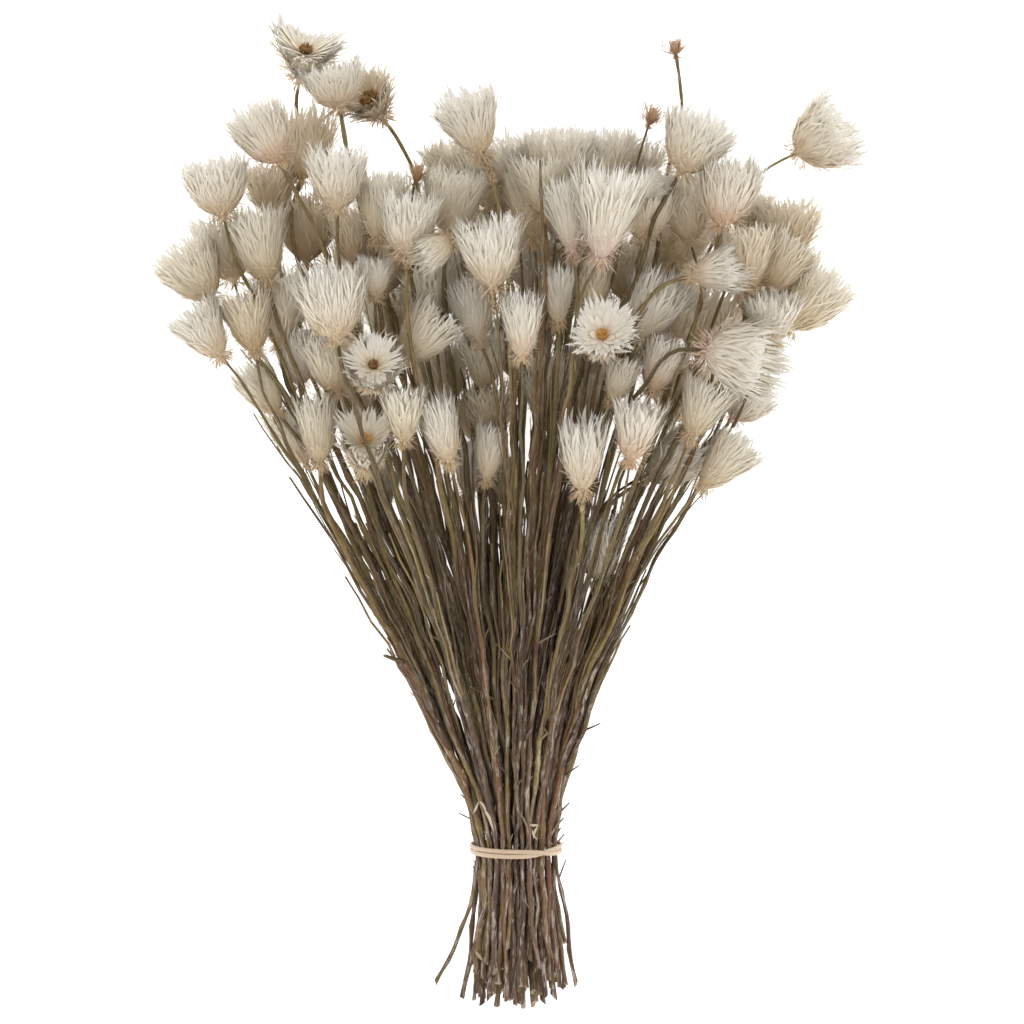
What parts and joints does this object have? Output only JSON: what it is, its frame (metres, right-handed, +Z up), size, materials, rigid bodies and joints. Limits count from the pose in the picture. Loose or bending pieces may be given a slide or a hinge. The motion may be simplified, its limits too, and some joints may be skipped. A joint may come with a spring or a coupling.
{
  "type": "dried strawflower",
  "caption": "Tied bunch of dried white strawflowers: papery many-bracted blooms on thin woody stems, held near the cut ends by an elastic band, lying flat.",
  "frame": {"origin": "on the surface the bunch lies on, under the middle of its box", "axes": "+Y along the bunch from the cut ends to the blooms, +Z up from the surface, +X across the bunch"},
  "size_m": [0.3662, 0.4988, 0.1587],
  "materials": {
    "papery_bracts": "dry, papery, silky sheen",
    "spent_heads": "dry, matt, brown",
    "dried_stems": "dry bark, matt, olive above and brown below",
    "elastic_band": "satin natural rubber"
  },
  "bodies": {
    "root": {"blooms_01": "papery_bracts", "blooms_02": "papery_bracts", "blooms_03": "papery_bracts", "blooms_04": "papery_bracts", "blooms_05": "papery_bracts", "blooms_06": "papery_bracts", "blooms_07": "papery_bracts", "blooms_08": "papery_bracts", "blooms_09": "papery_bracts", "blooms_10": "papery_bracts", "blooms_11": "papery_bracts", "blooms_12": "papery_bracts", "blooms_13": "papery_bracts", "blooms_14": "papery_bracts", "blooms_15": "papery_bracts", "blooms_16": "papery_bracts", "blooms_17": "papery_bracts", "blooms_18": "papery_bracts", "blooms_19": "papery_bracts", "blooms_20": "papery_bracts", "blooms_21": "papery_bracts", "blooms_22": "papery_bracts", "blooms_23": "papery_bracts", "blooms_24": "papery_bracts", "blooms_25": "papery_bracts", "blooms_26": "papery_bracts", "blooms_27": "papery_bracts", "blooms_28": "papery_bracts", "blooms_29": "papery_bracts", "blooms_30": "papery_bracts", "blooms_31": "papery_bracts", "blooms_32": "papery_bracts", "blooms_33": "papery_bracts", "blooms_34": "papery_bracts", "blooms_35": "papery_bracts", "blooms_36": "papery_bracts", "blooms_37": "papery_bracts", "blooms_38": "papery_bracts", "blooms_39": "papery_bracts", "blooms_40": "papery_bracts", "blooms_41": "papery_bracts", "blooms_42": "papery_bracts", "elastic_band": "elastic_band", "spent_head_01": "spent_heads", "spent_head_02": "spent_heads", "spent_head_03": "spent_heads", "stems_1_over": "dried_stems", "stems_1_under": "dried_stems", "stems_2_over": "dried_stems", "stems_2_under": "dried_stems", "stems_3_over": "dried_stems", "stems_3_under": "dried_stems", "stems_4_over": "dried_stems", "stems_4_under": "dried_stems", "stems_5_over": "dried_stems", "stems_5_under": "dried_stems", "stems_6_over": "dried_stems", "stems_6_under": "dried_stems", "stems_7_over": "dried_stems", "stems_7_under": "dried_stems"}
  },
  "joints": []
}
